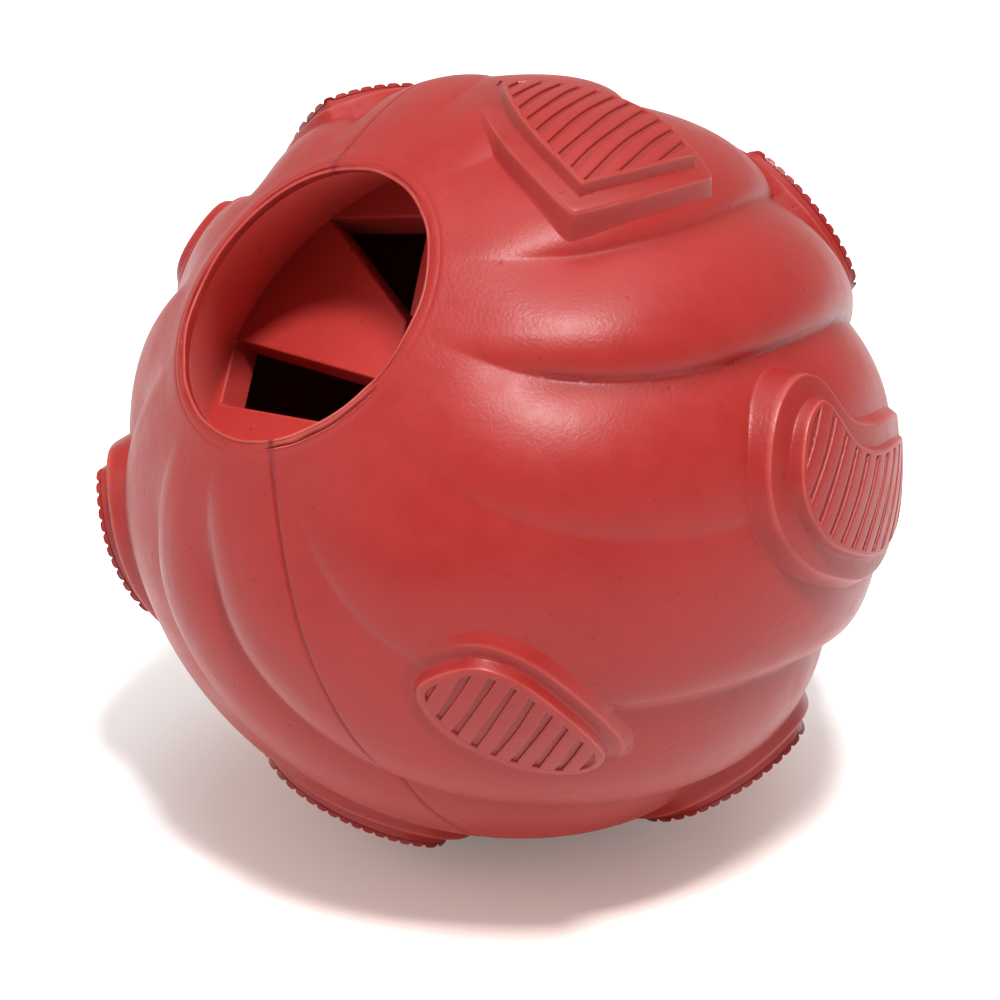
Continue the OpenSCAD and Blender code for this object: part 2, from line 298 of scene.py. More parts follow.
@dataclass
class Surface:
    """A surface in the ball's frame: points, quads, caps, and shares per point for the finish."""

    points: Array
    faces: Array
    shares: dict[str, Array]
    caps: list[Array] = field(default_factory=list)
    weld_grain: float = 1e-4

    @staticmethod
    def of_grid(
        points: Array, wrap_rows: bool, wrap_columns: bool, caps: list[Array], **shares: Array
    ) -> "Surface":
        """Surface of a grid of points, with a quad between each two rows and columns.

        Args:
            points: Rows of columns of points.
            wrap_rows: Whether the last row joins the first.
            wrap_columns: Whether the last column joins the first.
            caps: Loops of point numbers that close its ends.
            **shares: Shares for the finish, each spread over the whole grid.

        Returns:
            The surface.
        """
        rows, columns = points.shape[:2]
        i = np.arange(rows if wrap_rows else rows - 1)[:, None]
        j = np.arange(columns if wrap_columns else columns - 1)[None, :]
        here, below = i * columns, (i + 1) % rows * columns
        right = (j + 1) % columns
        faces = np.stack([here + j, here + right, below + right, below + j], axis=-1).reshape(-1, 4)
        full = np.ones((rows, columns))
        spread = {name: (share * full).reshape(-1) for name, share in shares.items()}
        return Surface(points.reshape(-1, 3), faces, spread, caps)

    @staticmethod
    def joined(parts: list["Surface"]) -> "Surface":
        """Several closed surfaces as one, each kept as it is.

        Args:
            parts: The surfaces, all with the same kinds of shares.

        Returns:
            One surface that holds them all.
        """
        starts = np.concatenate([[0], np.cumsum([len(part.points) for part in parts])])
        return Surface(
            np.concatenate([part.points for part in parts]),
            np.concatenate([part.faces + start for part, start in zip(parts, starts)]),
            {name: np.concatenate([part.shares[name] for part in parts]) for name in parts[0].shares},
            [cap + start for part, start in zip(parts, starts) for cap in part.caps],
        )

    def welded(self) -> "Surface":
        """Makes points that coincide one, and faces that collapse triangles, or drops them.

        Returns:
            The surface that is left.
        """
        keys = np.round(self.points / self.weld_grain).astype(np.int64)
        _, first, back = np.unique(keys, axis=0, return_index=True, return_inverse=True)
        back = back.reshape(-1)
        faces = back[self.faces]
        same = faces == np.roll(faces, -1, axis=1)
        count = same.sum(axis=1)
        triangles = faces[count == 1][~same[count == 1]].reshape(-1, 3)
        caps = [loop[loop != np.roll(loop, -1)] for loop in (back[cap] for cap in self.caps)]
        shares = {name: share[first] for name, share in self.shares.items()}
        return Surface(self.points[first], faces[count == 0], shares, [*triangles, *caps])


class Shade:
    """A number that varies over a surface. Sums on it add the Math nodes that work them out."""

    def __init__(self, sheet: "FinishSheet", socket: bpy.types.NodeSocket) -> None:
        """Wraps one output socket of a material's node sheet."""
        self.sheet = sheet
        self.socket = socket

    def _math(self, operation: str, first: object, second: object) -> "Shade":
        """Adds one Math node.

        Args:
            operation: The node's operation.
            first: Its first value, a number or a Shade.
            second: Its second value, a number or a Shade.

        Returns:
            The node's result.
        """
        node = self.sheet.node("ShaderNodeMath", {"operation": operation}, {0: first, 1: second})
        return Shade(self.sheet, node.outputs[0])

    def __add__(self, other: object) -> "Shade":
        """Sum."""
        return self._math("ADD", self, other)

    def __radd__(self, other: object) -> "Shade":
        """Sum with the number first."""
        return self._math("ADD", other, self)

    def __sub__(self, other: object) -> "Shade":
        """Difference."""
        return self._math("SUBTRACT", self, other)

    def __rsub__(self, other: object) -> "Shade":
        """Difference with the number first."""
        return self._math("SUBTRACT", other, self)

    def __mul__(self, other: object) -> "Shade":
        """Product."""
        return self._math("MULTIPLY", self, other)

    def __rmul__(self, other: object) -> "Shade":
        """Product with the number first."""
        return self._math("MULTIPLY", other, self)

    def __truediv__(self, other: object) -> "Shade":
        """Quotient."""
        return self._math("DIVIDE", self, other)

    def __abs__(self) -> "Shade":
        """Size without the sign."""
        return self._math("ABSOLUTE", self, 0.0)

    def below(self, limit: object) -> "Shade":
        """1 at 0, falling in a straight line to 0 at the limit, and 0 past it."""
        return self._math("MAXIMUM", 1.0 - self / limit, 0.0)

    def between(self, low: float, high: float) -> "Shade":
        """0 up to the low value and 1 from the high one, with a straight line between them."""
        inputs = {"Value": self, "From Min": low, "From Max": high}
        return Shade(self.sheet, self.sheet.node("ShaderNodeMapRange", {"clamp": True}, inputs).outputs[0])


class FinishSheet:
    """The nodes of one material."""

    def __init__(self, name: str) -> None:
        """Starts an empty material of that name."""
        self.material = bpy.data.materials.new(name)
        self.material.use_nodes = True
        self.nodes = self.material.node_tree.nodes
        self.nodes.clear()

    def node(
        self,
        kind: str,
        settings: dict[str, object] | None = None,
        inputs: dict[str | int, object] | None = None,
    ) -> bpy.types.Node:
        """Adds one node.

        Args:
            kind: Its type.
            settings: Its own settings, set before its sockets.
            inputs: Values, sockets or Shades for its input sockets, by name or number.

        Returns:
            The new node.
        """
        made = self.nodes.new(kind)
        for name, value in (settings or {}).items():
            setattr(made, name, value)
        for name, value in (inputs or {}).items():
            target = made.inputs[name]
            value = value.socket if isinstance(value, Shade) else value
            if isinstance(value, bpy.types.NodeSocket):
                self.material.node_tree.links.new(value, target)
            else:
                target.default_value = value
        return made

    def noise(
        self, place: bpy.types.NodeSocket, size: float, detail: float = 2.0, warp: float = 0.0
    ) -> Shade:
        """Noise with features of about a given size.

        Args:
            place: Coordinates in metres.
            size: Size of a feature in millimetres.
            detail: Number of finer layers.
            warp: Distortion.

        Returns:
            The noise, about 0.5.
        """
        inputs = {"Vector": place, "Scale": 1.0 / (size * MM), "Detail": detail, "Distortion": warp}
        return Shade(self, self.node("ShaderNodeTexNoise", None, inputs).outputs[0])

    def own(self, attribute: str) -> Shade:
        """A share that the piece's own mesh carries."""
        return Shade(self, self.node("ShaderNodeAttribute", {"attribute_name": attribute}).outputs["Fac"])

    def mixed(self, share: Shade, first: object, second: object) -> bpy.types.NodeSocket:
        """A colour between two, by a share of the second.

        Args:
            share: How much of the second, from 0 to 1.
            first: First colour, as four numbers or a socket.
            second: Second colour, as four numbers or a socket.

        Returns:
            The mixed colour.
        """
        node = self.node("ShaderNodeMix", {"data_type": "RGBA"}, {"Factor": share, 6: first, 7: second})
        return node.outputs[2]

    def finish(self, shader: bpy.types.Node) -> bpy.types.Material:
        """Joins the last shader to the material's surface and gives the material back."""
        self.node("ShaderNodeOutputMaterial", None, {"Surface": shader.outputs[0]})
        return self.material


@dataclass(frozen=True)
class RubberFinish:
    """Moulded natural rubber: matt red, with bloom, pits, grain, a dark seam, painted shade and painted
    highlights. Lengths in millimetres.
    """

    name: str
    body: Colour = (0.205, 0.0088, 0.0072, 1.0)
    # deep: dark red for painted shade in creases, grooves, the crack, the nick, the pits and the dark
    # chamber, and for the real dark seam line
    deep: Colour = (0.13, 0.005, 0.004, 1.0)
    bloom: Colour = (0.28, 0.020, 0.016, 1.0)
    # pale: painted highlight along wall tops, rib edges, the lip's crown and its flash
    pale: Colour = (0.34, 0.060, 0.048, 1.0)
    # inner: far lighter red, painted light in the throat, where the rubber is the same as outside
    inner: Colour = (0.76, 0.11, 0.09, 1.0)
    deep_share: float = 0.75
    pale_share: float = 0.45
    pale_mottle_share: float = 0.4
    cloud_size: float = 22.0
    cloud_detail: float = 3.0
    cloud_warp: float = 0.4
    cloud_band: tuple[float, float] = (0.35, 0.7)
    cloud_share: float = 0.30
    mottle_size: float = 3.2
    mottle_detail: float = 4.0
    mottle_band: tuple[float, float] = (0.35, 0.75)
    mottle_share: float = 0.16
    mottle_height: float = 0.02
    grain_size: float = 0.42
    grain_detail: float = 3.0
    grain_height: float = 0.035
    pit_spacing: float = 3.4
    pit_reach_share: float = 0.11
    pit_shade: float = 0.6
    pit_depth: float = 0.05
    seam_w: float = 0.34
    seam_tear_w: float = 0.4
    seam_tear_heights: tuple[float, float] = (38.5, 41.8)
    seam_waver: float = 0.4
    seam_waver_size: float = 2.5
    seam_shade: float = 0.9
    roughness: float = 0.37
    cloud_roughness: float = 0.10
    mottle_roughness: float = 0.08
    pit_roughness: float = 0.12
    specular: float = 0.26
    sheen: float = 0.02
    sheen_roughness: float = 0.4

    def _own_place(self, sheet: FinishSheet, ball: BallForm) -> bpy.types.NodeSocket:
        """Object coordinates turned back into the ball's own frame, in metres.

        Args:
            sheet: The material's nodes.
            ball: The ball, for its turn and height.

        Returns:
            The coordinates.
        """
        place = sheet.node("ShaderNodeTexCoord").outputs["Object"]
        back = Matrix(ball.turn.T.tolist())
        centre = back @ Vector((0.0, 0.0, -ball.rest_height * MM))
        inputs = {"Vector": place, "Location": centre, "Rotation": back.to_euler("XYZ")}
        return sheet.node("ShaderNodeMapping", {"vector_type": "POINT"}, inputs).outputs["Vector"]

    def _seam(self, sheet: FinishSheet, place: bpy.types.NodeSocket) -> Shade:
        """Dark hairline in the plane of the seam, which wavers and widens to a tear just below the mouth.

        Args:
            sheet: The material's nodes.
            place: Coordinates in the ball's own frame.

        Returns:
            1 in the middle of the line and 0 beside it.
        """
        parts = sheet.node("ShaderNodeSeparateXYZ", None, {"Vector": place})
        waver = (sheet.noise(place, self.seam_waver_size) - 0.5) * (self.seam_waver * MM)
        low, high = self.seam_tear_heights
        torn = Shade(sheet, parts.outputs["Z"]).between(low * MM, high * MM)
        width = self.seam_w * MM + torn * (self.seam_tear_w * MM)
        return abs(Shade(sheet, parts.outputs["Y"]) + waver).below(width)

    def material(self, ball: BallForm) -> bpy.types.Material:
        """Builds the material.

        Args:
            ball: The ball, for the place of its seam.

        Returns:
            The material.
        """
        sheet = FinishSheet(self.name)
        place = self._own_place(sheet, ball)
        clouds = sheet.noise(place, self.cloud_size, self.cloud_detail, self.cloud_warp)
        clouds = clouds.between(*self.cloud_band)
        mottle = sheet.noise(place, self.mottle_size, self.mottle_detail).between(*self.mottle_band)
        grain = sheet.noise(place, self.grain_size, self.grain_detail)
        spacing = {"Vector": place, "Scale": 1.0 / (self.pit_spacing * MM)}
        cells = sheet.node("ShaderNodeTexVoronoi", {"feature": "F1"}, spacing)
        pits = Shade(sheet, cells.outputs["Distance"]).below(self.pit_reach_share)
        dry = clouds * self.cloud_share + mottle * self.mottle_share
        colour = sheet.mixed(dry, self.body, self.bloom)
        # Painted light in the throat, painted shade where the deep share is high, and a painted highlight
        # where the pale share is high
        colour = sheet.mixed(sheet.own("inner"), colour, self.inner)
        colour = sheet.mixed(sheet.own("deep") * self.deep_share, colour, self.deep)
        highlight_amount = sheet.own("pale") * (self.pale_share + self.pale_mottle_share * mottle)
        colour = sheet.mixed(highlight_amount, colour, self.pale)
        # Painted shade in the pinholes
        colour = sheet.mixed(pits * self.pit_shade, colour, self.deep)
        colour = sheet.mixed(self._seam(sheet, place) * self.seam_shade, colour, self.deep)
        rough = self.roughness + self.cloud_roughness * clouds
        rough = rough + self.mottle_roughness * (mottle - 0.5) + self.pit_roughness * pits
        height = grain * self.grain_height + mottle * self.mottle_height - pits * self.pit_depth
        bump = sheet.node("ShaderNodeBump", None, {"Strength": 1.0, "Distance": MM, "Height": height})
        sockets = {
            "Base Color": colour,
            "Roughness": rough,
            "Normal": bump.outputs["Normal"],
            "Specular IOR Level": self.specular,
            "Sheen Weight": self.sheen,
            "Sheen Roughness": self.sheen_roughness,
        }
        return sheet.finish(sheet.node("ShaderNodeBsdfPrincipled", None, sockets))


class MouldedPiece:
    """A piece whose surface is worked out in the ball's frame, and which stands for one CAD node."""

    name: str
    node: str
    ball: BallForm
    sharp_edge: float

    def surface(self) -> Surface:
        """The piece's surface, worked out by each kind of piece."""
        raise NotImplementedError

    def build(self, material: bpy.types.Material) -> bpy.types.Object:
        """Makes the piece at the origin, with its place in its mesh and its faces outwards.

        Edges sharper than the piece's own angle are shaded sharp. The new piece hides its CAD node.

        Args:
            material: Its finish.

        Returns:
            The new piece.
        """
        closed = self.surface().welded()
        mesh = bpy.data.meshes.new(self.name)
        faces = closed.faces.tolist() + [loop.tolist() for loop in closed.caps]
        mesh.from_pydata(self.ball.to_row(closed.points).tolist(), [], faces)
        for attribute, share in closed.shares.items():
            layer = mesh.attributes.new(attribute, "FLOAT", "POINT")
            layer.data.foreach_set("value", share.astype(np.float32))
        shape = bmesh.new()
        shape.from_mesh(mesh)
        bmesh.ops.recalc_face_normals(shape, faces=shape.faces)
        shape.to_mesh(mesh)
        shape.free()
        mesh.polygons.foreach_set("use_smooth", np.ones(len(mesh.polygons), bool))
        mesh.set_sharp_from_angle(angle=radians(self.sharp_edge))
        mesh.materials.append(material)
        piece = bpy.data.objects.new(self.name, mesh)
        bpy.context.scene.collection.objects.link(piece)
        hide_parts(self.node)
        return piece


@dataclass
class HalfShell(MouldedPiece):
    """One moulded half of the ball, with half of the throat, of the divider's seat and of the chamber."""

    name: str
    node: str
    side: int
    ball: BallForm
    sharp_edge: float = 40.0
    outer_rows: int = 236
    columns: int = 320
    seam_columns: tuple[float, ...] = (0.12, 0.26, 0.42, 0.7)
    chamber_rows: int = 34
    cone_rows: int = 8
    throat_out: float = 0.3
    throat_drop: float = 0.6
    shade_from: float = 0.45

    def _azimuths(self) -> Array:
        """Even angles over the half, with closer ones beside the seam.

        Returns:
            Angles in degrees.
        """
        close = np.array(self.seam_columns)
        even = np.linspace(0.0, 180.0, self.columns + 1)
        both = np.unique(np.round(np.concatenate([even, close, 180.0 - close]), 6))
        return both if self.side > 0 else both - 180.0

    def _inner_profile(self) -> Array:
        """Half section of the hollow, from its far pole up to the mouth's flat ring.

        Returns:
            Rows of radius and height.
        """
        b = self.ball
        divider_low = b.divider_height - b.divider_t
        rim = np.degrees(np.arccos(divider_low / b.cavity_r))
        arc = np.radians(np.linspace(180.0, rim, self.chamber_rows))
        chamber = b.cavity_r * np.stack([np.sin(arc), np.cos(arc)], axis=1)
        chamber[0, 0] = 0.0
        seat = np.array([[b.divider_r, divider_low], [b.divider_r, b.divider_height]])
        throat_edge = [b.mouth_r + self.throat_out, b.mouth_z - self.throat_drop]
        cone = np.linspace([b.throat_r, b.divider_height], throat_edge, self.cone_rows)
        return np.concatenate([chamber, seat, cone, [[b.mouth_r + b.lip_w, b.mouth_z]]])

    def surface(self) -> Surface:
        """Outer skin down to the far pole, then the hollow back up to the mouth, and two flat seam faces.

        The skin's point at an angle down from the mouth and an azimuth lies at the skin's radius there.

        Returns:
            The half shell's surface.
        """
        b = self.ball
        azimuth = np.radians(self._azimuths())
        polar = np.radians(np.linspace(b.ring_polar, 180.0, self.outer_rows))[:, None]
        unit = around(np.sin(polar), azimuth, np.cos(polar))
        outer = unit * b.skin_radius(unit)[..., None]
        outer[-1] = outer[-1].mean(axis=0) * [0.0, 0.0, 1.0]
        profile = self._inner_profile()
        inner = around(profile[:, :1], azimuth, profile[:, 1:])
        points = np.concatenate([outer, inner])
        rows, columns = points.shape[:2]
        # Painted shade in the creases and in the unlit chamber below the divider; painted light in the
        # throat above it
        relief = b.lobes(np.degrees(polar), np.degrees(azimuth)[None, :]) / b.crease_depth
        crease_shade = eased(relief, self.shade_from, 1.0)
        in_throat = (inner[..., 2] >= b.divider_height) * 1.0
        deep = np.concatenate([crease_shade, 1.0 - in_throat])
        throat_light = np.concatenate([np.zeros(outer.shape[:2]), in_throat])
        seam_face = np.arange(rows) * columns
        caps = [seam_face, (seam_face + columns - 1)[::-1]]
        return Surface.of_grid(points, True, False, caps, deep=deep, inner=throat_light)


@dataclass(frozen=True)
class TreadOutline:
    """Sizes of a tread pattern in millimetres, and its control points, each with 1 for a corner.

    The points are shares of length and width. So is the middle, from which the whole outline is in sight.
    The shoulder is a share of the width.
    """

    size: tuple[float, float]
    middle: tuple[float, float]
    shoulder_share: float
    pitch: float
    points: tuple[tuple[float, float, int], ...]


class Pattern(Enum):
    """The three patterns of the treads."""

    DROP = TreadOutline(
        (27.97, 17.97), (0.03, 0.02), 0.095, 2.65,
        (
            (-0.43, -0.30, 0), (-0.28, -0.46, 0), (-0.05, -0.47, 0), (0.16, -0.38, 0), (0.37, -0.18, 0),
            (0.54, 0.06, 0), (0.52, 0.44, 0), (0.25, 0.52, 0), (-0.02, 0.51, 0), (-0.24, 0.44, 0),
            (-0.42, 0.22, 0),
        ),
    )
    KIDNEY = TreadOutline(
        (37.96, 27.0), (0.08, -0.1), 0.095, 2.9,
        (
            (-0.42, -0.33, 0), (-0.29, -0.50, 0), (-0.10, -0.55, 0), (0.11, -0.48, 0), (0.31, -0.37, 0),
            (0.48, -0.16, 0), (0.58, 0.10, 0), (0.58, 0.36, 0), (0.47, 0.53, 0), (0.32, 0.45, 0),
            (0.16, 0.32, 0), (0.01, 0.18, 0), (-0.12, 0.13, 0), (-0.22, 0.18, 0), (-0.31, 0.22, 0),
            (-0.41, 0.16, 0), (-0.47, -0.05, 0),
        ),
    )
    LEAF = TreadOutline(
        (24.03, 32.0), (-0.08, 0.0), 0.07, 2.3,
        (
            (-0.38, -0.465, 1), (0.05, -0.435, 0), (0.49, -0.32, 1), (0.50, -0.02, 0), (0.36, 0.25, 0),
            (0.13, 0.48, 0), (-0.20, 0.60, 1), (-0.34, 0.38, 0), (-0.44, 0.14, 0), (-0.465, -0.09, 0),
            (-0.43, -0.32, 0),
        ),
    )


@dataclass(frozen=True)
class TreadPlace:
    """Where a tread sits, as in the CAD source: angles in degrees, shares of the size, height and lean."""

    polar: float
    azimuth: float
    turn: float
    along: float
    across: float
    height: float
    lean: tuple[float, float]
    groove_angle: float
    shoulder_lean: tuple[float, float] = (0.0, 0.0)
    shoulder_height: float = 0.0


@dataclass(frozen=True)
class EdgeHighlight:
    """Painted highlight along the upper edge of a wall. Its place and width are shares of the wall's rise.
    """

    rise_share: float
    width_share: float
    full_height: float

    def over(self, rise: Array, height: Array) -> Array:
        """Share of painted highlight at each share of the rise, weaker where the wall is below its full
        height.
        """
        return bell(rise, self.rise_share, self.width_share) * np.clip(height / self.full_height, 0.0, 1.0)


@dataclass(frozen=True)
class RibShape:
    """Cross-section of a rib, which fills the space between two grooves. Lengths in millimetres."""

    pitch: float = 0.0
    groove_w: float = 0.72
    depth: float = 0.36
    buried: float = 0.3
    side_draft: float = 0.12
    shoulder_out: float = 0.02
    shoulder_drop: float = 0.06
    edge_round: float = 0.24
    edge_points: int = 5
    top_points: int = 2
    top_drop: float = 0.02
    waver: float = 0.08
    waver_turn: float = 0.42
    waver_phase: float = 1.7
    end_overlap: float = 0.12
    side_margin: float = 0.06
    least_w: float = 0.5
    # Painted shade down the sides, and a painted highlight just below the top edge:
    shade_depth: float = 0.45
    shade_share: float = 0.6
    highlight_depth: float = 0.08
    highlight_w: float = 0.05
    highlight_share: float = 0.3

    @property
    def half_section(self) -> Array:
        """One side of the rib and its rounded edge, from the buried foot up.

        Returns:
            Rows of distance in from the side and depth below the top.
        """
        arc = np.radians(np.linspace(0.0, 90.0, self.edge_points))
        edge = self.edge_round * np.stack([1.0 - np.cos(arc), 1.0 - np.sin(arc)], -1)
        foot = [-self.side_draft, self.depth + self.buried]
        return np.concatenate([[foot, [-self.shoulder_out, self.edge_round + self.shoulder_drop]], edge])


@dataclass
class Tread(MouldedPiece):
    """A two-tiered rubber tread with a grooved top, moulded onto the skin. Lengths in millimetres."""

    node: str
    pattern: Pattern
    place: TreadPlace
    ball: BallForm
    draft_w: float = 0.6
    rim_w: float = 0.4
    sharp_edge: float = 50.0
    samples: int = 420
    arc_samples: int = 24
    skin_steps: int = 4
    root_rings: int = 5
    ledge_rings: int = 3
    top_rings: int = 26
    rib_stations: int = 30
    wall_shares: tuple[float, ...] = (
        -0.45, -0.22, -0.1, -0.03, 0.04, 0.12, 0.3, 0.5, 0.7, 0.88, 0.96, 1.03, 1.1, 1.22, 1.45,
    )
    step_h: float = 1.6
    inner_draft_w: float = 0.34
    floor_draft_w: float = 0.28
    edge_round: float = 0.11
    groove_round: float = 0.055
    corner_round: float = 0.9
    foot_blend: float = 0.08
    step_blend: float = 0.05
    skin_sink: float = 0.06
    root_depth: float = 0.8
    far_off: float = 1000.0
    floor_shade: float = 0.6
    ledge_shade: float = 0.25
    ledge_rise_share: float = 0.97
    shoulder_highlight: EdgeHighlight = EdgeHighlight(0.90, 0.06, 1.2)
    top_highlight: EdgeHighlight = EdgeHighlight(0.88, 0.07, 1.4)
    closed_rib: RibShape = RibShape()
    open_rib: RibShape = RibShape(
        pitch=1.6, groove_w=0.1, depth=0.24, edge_round=0.5, side_draft=0.04, waver=0.03
    )

    @property
    def name(self) -> str:
        """Name of the piece."""
        return f"{self.node}_moulded"

    @property
    def size(self) -> Array:
        """Length and width of this tread."""
        return np.array(self.pattern.value.size) * [self.place.along, self.place.across]

    @property
    def full_outline(self) -> Array:
        """Control points at this tread's own size, with each corner cut by two close points.

        Returns:
            Points, two columns.
        """
        shares = np.array(self.pattern.value.points)
        knots = shares[:, :2] * self.size
        rows: list[Array] = []
        for i, corner in enumerate(shares[:, 2]):
            if corner:
                for other in (knots[i - 1], knots[(i + 1) % len(knots)]):
                    side = other - knots[i]
                    rows.append(knots[i] + self.corner_round * side / np.linalg.norm(side))
            else:
                rows.append(knots[i])
        return np.array(rows)

    @property
    def shoulder(self) -> float:
        """Width of the shoulder round the grooved tier."""
        across = np.array(self.pattern.value.points)[:, 1] * self.size[1]
        return self.pattern.value.shoulder_share * float(np.ptp(across))

    @property
    def floor_start(self) -> float:
        """Distance in from the outline at which the rim ends and the floor of the grooves starts."""
        return self.shoulder + 0.5 * self.inner_draft_w + self.rim_w

    @property
    def has_rim(self) -> bool:
        """Whether a rim closes the grooves, which otherwise run out through the wall."""
        return self.rim_w > 0.0

    @property
    def rib(self) -> RibShape:
        """Shape of the ribs, which is finer and rounder where no rim closes the grooves."""
        return self.closed_rib if self.has_rim else self.open_rib

    @property
    def rib_pitch(self) -> float:
        """Distance from one rib to the next: the pattern's own, or the rib shape's where it names one."""
        return self.rib.pitch or self.pattern.value.pitch

    @property
    def top_r(self) -> float:
        """Radius of the dome that the ribs' tops lie on."""
        return self.ball.crest_r + self.ball.tread_proud * self.place.height

    @staticmethod
    def _inset(knots: Array, distances: Array) -> Array:
        """Control points moved so that each line lies inwards by a distance: mitred at every point.

        Args:
            knots: Control points, counter-clockwise.
            distances: One distance a ring.

        Returns:
            Rings of control points.
        """
        step = np.roll(knots, -1, axis=0) - knots
        normal = np.stack([-step[:, 1], step[:, 0]], -1) / np.linalg.norm(step, axis=1)[:, None]
        before = np.roll(normal, 1, axis=0)
        mitre = (before + normal) / (1.0 + (before * normal).sum(axis=1))[:, None]
        return knots + distances[:, None, None] * mitre

    @staticmethod
    def _curve(rings: Array, segment: Array, t: Array) -> Array:
        """Points of the closed quadratic curve through the middles of the control lines.

        Args:
            rings: Rings of control points.
            segment: Which control point each point belongs to.
            t: Where on that control point's arc, from 0 to 1.

        Returns:
            Rings of points.
        """
        before = (rings + np.roll(rings, 1, axis=1)) / 2.0
        after = (rings + np.roll(rings, -1, axis=1)) / 2.0
        start, knot, end = before[:, segment], rings[:, segment], after[:, segment]
        t = t[:, None]
        return (1 - t) ** 2 * start + 2 * t * (1 - t) * knot + t**2 * end

    def _rings(self, distances: Array) -> Array:
        """The outline moved inwards by each distance, as rings of points evenly spaced along the outline.

        Args:
            distances: One distance a ring.

        Returns:
            Rings of points.
        """
        knots = self.full_outline
        segment = np.repeat(np.arange(len(knots)), self.arc_samples)
        t = np.tile(np.arange(self.arc_samples) / self.arc_samples, len(knots))
        line = self._curve(knots[None], segment, t)[0]
        pieces = np.linalg.norm(np.roll(line, -1, axis=0) - line, axis=1)
        length = np.concatenate([[0.0], np.cumsum(pieces)])
        wanted = np.linspace(0.0, length[-1], self.samples, endpoint=False)
        at = np.interp(wanted, length, np.arange(len(length)) / self.arc_samples)
        whole = np.minimum(at.astype(int), len(knots) - 1)
        return self._curve(self._inset(knots, distances), whole, at - whole)

    def _to_ball(self, points: Array) -> Array:
        """Points of the tread's own frame in the ball's frame."""
        place = self.place
        return points @ (turned("z", place.azimuth) @ turned("y", place.polar) @ turned("z", place.turn)).T

    def _skin_z(self, flat: Array) -> Array:
        """Height of the skin over points of the tread's plane, found by a few steps towards it.

        Args:
            flat: Points, two columns.

        Returns:
            Heights along the tread's own axis.
        """
        across = (flat**2).sum(axis=-1)
        z = np.sqrt(self.ball.crest_r**2 - across)
        for _ in range(self.skin_steps):
            point = self._to_ball(np.concatenate([flat, z[..., None]], axis=-1))
            z = np.sqrt(self.ball.skin_radius(point) ** 2 - across)
        return z

    def _dome_z(self, flat: Array, radius: float, lean: Array) -> Array:
        """Height of a sphere of that radius about a lean, which is a share of the ball's radius."""
        return np.sqrt(radius**2 - ((flat - lean * self.ball.crest_r) ** 2).sum(axis=-1))

    def _placed(self, flat: Array, z: Array) -> Array:
        """Points of the tread's own frame in the ball's frame, pressed flat on the floor.

        Args:
            flat: Points of the tread's plane, two columns.
            z: Their heights.

        Returns:
            Points, three columns.
        """
        centre = [0.0, 0.0, self.ball.rest_height]
        row = self._to_ball(np.concatenate([flat, z[..., None]], axis=-1)) @ self.ball.turn.T + centre
        row[..., 2] = np.maximum(row[..., 2], 0.0)
        return (row - centre) @ self.ball.turn

    def _tiers(self) -> Surface:
        """Both tiers: rings from the middle of the root, out under the skin, up the walls and in again.

        Each ring is the outline moved inwards. Its height is the skin's, plus three slopes: up to the
        shoulder's dome, up to the ribs' dome, and down to the floor of the grooves.

        Returns:
            A closed surface.
        """
        slope = np.array(self.wall_shares)
        inner_start = self.shoulder - 0.5 * self.inner_draft_w
        wall = -self.draft_w + self.draft_w * slope
        step = inner_start + self.inner_draft_w * slope
        down = self.floor_start + self.floor_draft_w * slope
        ledge = np.linspace(wall[-1], step[0], self.ledge_rings + 2)[1:-1]
        inset = np.sort(np.concatenate([wall, ledge, step, down]))
        rings = self._rings(inset)
        middle = np.array(self.pattern.value.middle) * self.size
        inwards = np.linspace(0.0, 1.0, self.top_rings + 1)[1:, None, None]
        outwards = np.linspace(0.0, 1.0, self.root_rings + 1)[:-1, None, None]
        top = rings[-1] * (1.0 - inwards) + middle * inwards
        root = middle * (1.0 - outwards) + rings[0] * outwards
        flat = np.concatenate([root, rings, top])
        below, above = np.full(self.root_rings, -self.far_off), np.full(self.top_rings, self.far_off)
        inset = np.concatenate([below, inset, above])[:, None]
        skin = self._skin_z(flat)
        lean = np.array(self.place.lean)
        shoulder_r = self.top_r - self.step_h + self.ball.tread_proud * self.place.shoulder_height
        shoulder_z = self._dome_z(flat, shoulder_r, lean + self.place.shoulder_lean)
        low = soft_max(shoulder_z - skin, 0.0, self.foot_blend)
        high = soft_max(self._dome_z(flat, self.top_r, lean) - skin, low, self.step_blend)
        outer_w, inner_w, floor_w = self.draft_w, self.inner_draft_w, self.floor_draft_w
        first = ramp((inset + outer_w) / outer_w, self.edge_round / outer_w)
        second = ramp((inset - inner_start) / inner_w, self.edge_round / inner_w)
        third = ramp((inset - self.floor_start) / floor_w, self.groove_round / floor_w)
        height = low * first + (high - low) * second - self.rib.depth * (third if self.has_rim else second)
        height -= self.skin_sink * (1.0 - first) + self.root_depth * (inset <= -self.far_off)
        # Painted highlight along the tops of both walls; painted shade on the floor of the grooves and on
        # the ledge
        painted_highlight = self.shoulder_highlight.over(first, low) + self.top_highlight.over(second, high - low) * self.has_rim
        on_ledge = (1.0 - second) * (first > self.ledge_rise_share)
        deep = self.floor_shade * third + self.ledge_shade * on_ledge
        return Surface.of_grid(self._placed(flat, skin + height), False, True, [], pale=painted_highlight, deep=deep)

    @staticmethod
    def _crossings(line: Array, across: float) -> Array:
        """Ends of the longest stretch inside a closed line, along a straight line at one distance across.

        Args:
            line: Points of the closed line, as along and across.
            across: The distance.

        Returns:
            Where the stretch starts and ends.
        """
        after = np.roll(line, -1, axis=0)
        hit = (line[:, 1] - across) * (after[:, 1] - across) < 0.0
        start, end = line[hit], after[hit]
        share = (across - start[:, 1]) / (end[:, 1] - start[:, 1])
        found = start[:, 0] + (end[:, 0] - start[:, 0]) * share
        stretches = np.sort(found).reshape(-1, 2)
        return stretches[np.argmax(stretches[:, 1] - stretches[:, 0])]

